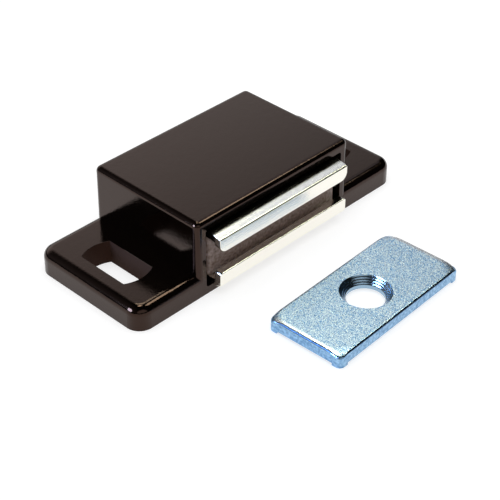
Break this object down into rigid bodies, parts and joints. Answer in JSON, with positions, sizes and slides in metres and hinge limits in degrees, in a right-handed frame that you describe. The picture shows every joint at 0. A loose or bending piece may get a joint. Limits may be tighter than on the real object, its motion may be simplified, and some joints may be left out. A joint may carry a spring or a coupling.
{
  "type": "magnetic catch",
  "caption": "Low rectangular moulded catch with slotted screw ears, folded steel pole plates on a floating magnet, and a countersunk steel strike plate.",
  "frame": {"origin": "centre of the case's flat mounting face", "axes": "+X along the case from ear to ear; +Z away from the mounting face; -Y is the way the pole faces look, towards the door"},
  "size_m": [0.0476, 0.0403, 0.011],
  "materials": {
    "moulded_plastic": "glossy dark brown injection-moulded plastic",
    "ferrite": "dark brown-black pressed ferrite",
    "plated_steel": "bright nickel-plated folded steel",
    "zinc_plated_steel": "pale blue zinc plating on stamped steel"
  },
  "bodies": {
    "catch_body": {"case": "moulded_plastic", "strike_plate": "zinc_plated_steel"},
    "magnet_pack": {"magnet": "ferrite", "upper_pole_plate": "plated_steel", "lower_pole_plate": "plated_steel"}
  },
  "joints": [
    {"name": "magnet_float", "type": "slide", "parent": "catch_body", "child": "magnet_pack", "axis": [0, 1, 0], "range_m": [-0.0004, 0.0004]}
  ]
}
